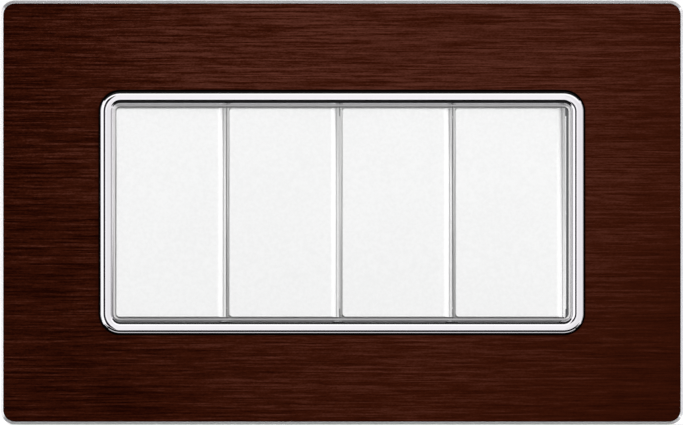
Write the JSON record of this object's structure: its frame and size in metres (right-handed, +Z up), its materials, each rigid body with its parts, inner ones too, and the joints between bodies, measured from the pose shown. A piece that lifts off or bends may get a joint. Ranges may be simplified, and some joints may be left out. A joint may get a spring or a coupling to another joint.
{
  "type": "switch plate",
  "caption": "Wide wall switch plate with a brushed brown metal face, a chrome ring and a row of plain white rocker switches on a screw-fixed frame.",
  "frame": {"origin": "middle of the plate, on the wall's surface", "axes": "+X right along the row of switches, +Y into the wall, +Z up"},
  "size_m": [0.145, 0.0333, 0.09],
  "materials": {
    "brushed_brown": "brown anodised aluminium, brushed sideways, with a polished bevel",
    "cover_plastic": "fine-textured dark moulded plastic",
    "ring_chrome": "bright chrome plating on plastic",
    "frame_plastic": "light grey glass-filled plastic",
    "screw_steel": "zinc-plated steel",
    "key_white": "white moulded plastic with a fine spark texture",
    "housing_white": "white moulded plastic",
    "base_grey": "dark grey heat-resistant moulding",
    "plunger_nylon": "natural nylon",
    "spring_steel": "bright spring steel",
    "blade_copper": "copper alloy strip",
    "terminal_brass": "bare brass",
    "contact_silver": "silver alloy"
  },
  "bodies": {
    "plate": {"face_plate": "brushed_brown", "plate_carrier": "cover_plastic", "bezel_ring": "ring_chrome", "grid_frame": "frame_plastic", "box_screws": "screw_steel", "housing_1": "housing_white", "base_1": "base_grey", "pivot_terminal_1": "terminal_brass", "fixed_terminal_1": "terminal_brass", "fixed_tip_1": "contact_silver", "terminal_screws_1": "screw_steel", "housing_2": "housing_white", "base_2": "base_grey", "pivot_terminal_2": "terminal_brass", "fixed_terminal_2": "terminal_brass", "fixed_tip_2": "contact_silver", "terminal_screws_2": "screw_steel", "housing_3": "housing_white", "base_3": "base_grey", "pivot_terminal_3": "terminal_brass", "fixed_terminal_3": "terminal_brass", "fixed_tip_3": "contact_silver", "terminal_screws_3": "screw_steel", "housing_4": "housing_white", "base_4": "base_grey", "pivot_terminal_4": "terminal_brass", "fixed_terminal_4": "terminal_brass", "fixed_tip_4": "contact_silver", "terminal_screws_4": "screw_steel"},
    "rocker_1": {"rocker_1": "key_white", "spring_1": "spring_steel"},
    "plunger_1": {"plunger_1": "plunger_nylon"},
    "contact_1": {"contact_blade_1": "blade_copper", "moving_tip_1": "contact_silver"},
    "rocker_2": {"rocker_2": "key_white", "spring_2": "spring_steel"},
    "plunger_2": {"plunger_2": "plunger_nylon"},
    "contact_2": {"contact_blade_2": "blade_copper", "moving_tip_2": "contact_silver"},
    "rocker_3": {"rocker_3": "key_white", "spring_3": "spring_steel"},
    "plunger_3": {"plunger_3": "plunger_nylon"},
    "contact_3": {"contact_blade_3": "blade_copper", "moving_tip_3": "contact_silver"},
    "rocker_4": {"rocker_4": "key_white", "spring_4": "spring_steel"},
    "plunger_4": {"plunger_4": "plunger_nylon"},
    "contact_4": {"contact_blade_4": "blade_copper", "moving_tip_4": "contact_silver"}
  },
  "joints": [
    {"name": "rocker_1_tip", "type": "hinge", "parent": "plate", "child": "rocker_1", "pos_m": [-0.03645, -0.0044, 0], "axis": [1, 0, 0], "range_deg": [0, 5]},
    {"name": "plunger_1_slide", "type": "slide", "parent": "rocker_1", "child": "plunger_1", "axis": [0, -0.999, 0.0436], "range_m": [0, 0.002], "stiffness_N_per_m": 300, "springref_m": -0.002, "deforming": ["spring_1"]},
    {"name": "contact_1_seesaw", "type": "hinge", "parent": "plate", "child": "contact_1", "pos_m": [-0.03645, 0.007, 0], "axis": [1, 0, 0], "range_deg": [-14, 0]},
    {"name": "rocker_2_tip", "type": "hinge", "parent": "plate", "child": "rocker_2", "pos_m": [-0.01245, -0.0044, 0], "axis": [1, 0, 0], "range_deg": [0, 5]},
    {"name": "plunger_2_slide", "type": "slide", "parent": "rocker_2", "child": "plunger_2", "axis": [0, -0.999, 0.0436], "range_m": [0, 0.002], "stiffness_N_per_m": 300, "springref_m": -0.002, "deforming": ["spring_2"]},
    {"name": "contact_2_seesaw", "type": "hinge", "parent": "plate", "child": "contact_2", "pos_m": [-0.01245, 0.007, 0], "axis": [1, 0, 0], "range_deg": [-14, 0]},
    {"name": "rocker_3_tip", "type": "hinge", "parent": "plate", "child": "rocker_3", "pos_m": [0.01155, -0.0044, 0], "axis": [1, 0, 0], "range_deg": [0, 5]},
    {"name": "plunger_3_slide", "type": "slide", "parent": "rocker_3", "child": "plunger_3", "axis": [0, -0.999, 0.0436], "range_m": [0, 0.002], "stiffness_N_per_m": 300, "springref_m": -0.002, "deforming": ["spring_3"]},
    {"name": "contact_3_seesaw", "type": "hinge", "parent": "plate", "child": "contact_3", "pos_m": [0.01155, 0.007, 0], "axis": [1, 0, 0], "range_deg": [-14, 0]},
    {"name": "rocker_4_tip", "type": "hinge", "parent": "plate", "child": "rocker_4", "pos_m": [0.03555, -0.0044, 0], "axis": [1, 0, 0], "range_deg": [0, 5]},
    {"name": "plunger_4_slide", "type": "slide", "parent": "rocker_4", "child": "plunger_4", "axis": [0, -0.999, 0.0436], "range_m": [0, 0.002], "stiffness_N_per_m": 300, "springref_m": -0.002, "deforming": ["spring_4"]},
    {"name": "contact_4_seesaw", "type": "hinge", "parent": "plate", "child": "contact_4", "pos_m": [0.03555, 0.007, 0], "axis": [1, 0, 0], "range_deg": [-14, 0]}
  ],
  "couplings": [
    {"joint": "contact_1_seesaw", "follows": "rocker_1_tip", "ratio": -2.8},
    {"joint": "contact_2_seesaw", "follows": "rocker_2_tip", "ratio": -2.8},
    {"joint": "contact_3_seesaw", "follows": "rocker_3_tip", "ratio": -2.8},
    {"joint": "contact_4_seesaw", "follows": "rocker_4_tip", "ratio": -2.8}
  ]
}
